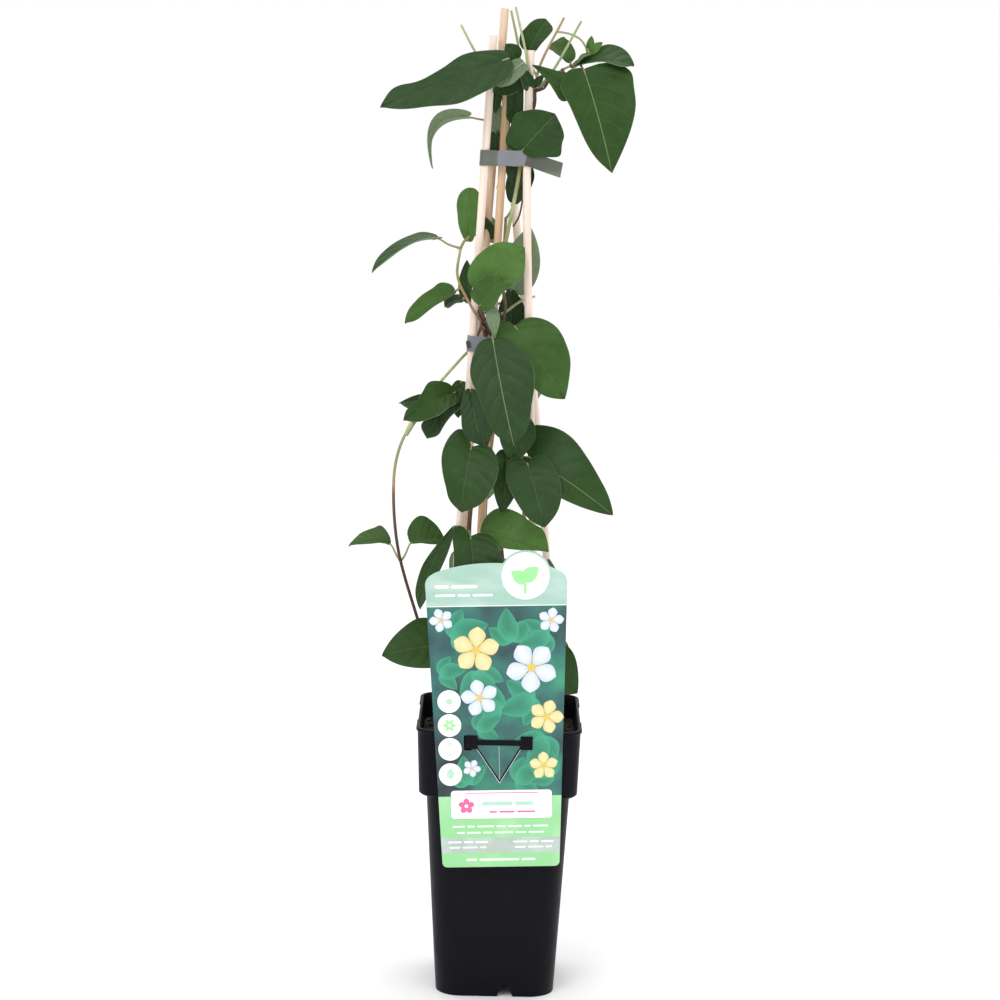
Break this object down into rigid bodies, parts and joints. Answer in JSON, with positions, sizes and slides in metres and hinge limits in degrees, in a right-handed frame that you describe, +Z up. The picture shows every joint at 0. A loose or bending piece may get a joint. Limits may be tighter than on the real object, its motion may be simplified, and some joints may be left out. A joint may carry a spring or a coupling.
{
  "type": "potted climbing plant",
  "caption": "Young honeysuckle vine trained up wooden canes in a tall square nursery pot, with tape ties and a hanging label card.",
  "frame": {"origin": "middle of the pot's foot, on the ground", "axes": "+Z up along the plant, -Y towards the front with the label card, +X to the right seen from the front"},
  "size_m": [0.1803, 0.1221, 0.6523],
  "materials": {
    "pot_plastic": "black moulded polypropylene, half gloss",
    "compost": "loose damp compost of bark and wood fibre",
    "label_plastic": "printed plastic card, mint and light green",
    "cane_wood": "planed pale wood",
    "bamboo": "smooth tan bamboo",
    "tape": "grey-green plastic tape",
    "foliage": "waxy green leaves on brown and green stems"
  },
  "bodies": {
    "root": {"pot": "pot_plastic", "soil": "compost", "label_card": "label_plastic", "cane_front_left": "cane_wood", "cane_back_left": "cane_wood", "cane_bamboo": "bamboo", "cane_front_right": "cane_wood", "cane_back_right": "cane_wood", "tie_upper": "tape", "tie_lower": "tape", "stem_left": "foliage", "stem_centre": "foliage", "stem_top": "foliage", "stem_right": "foliage", "stem_back": "foliage"}
  },
  "joints": []
}
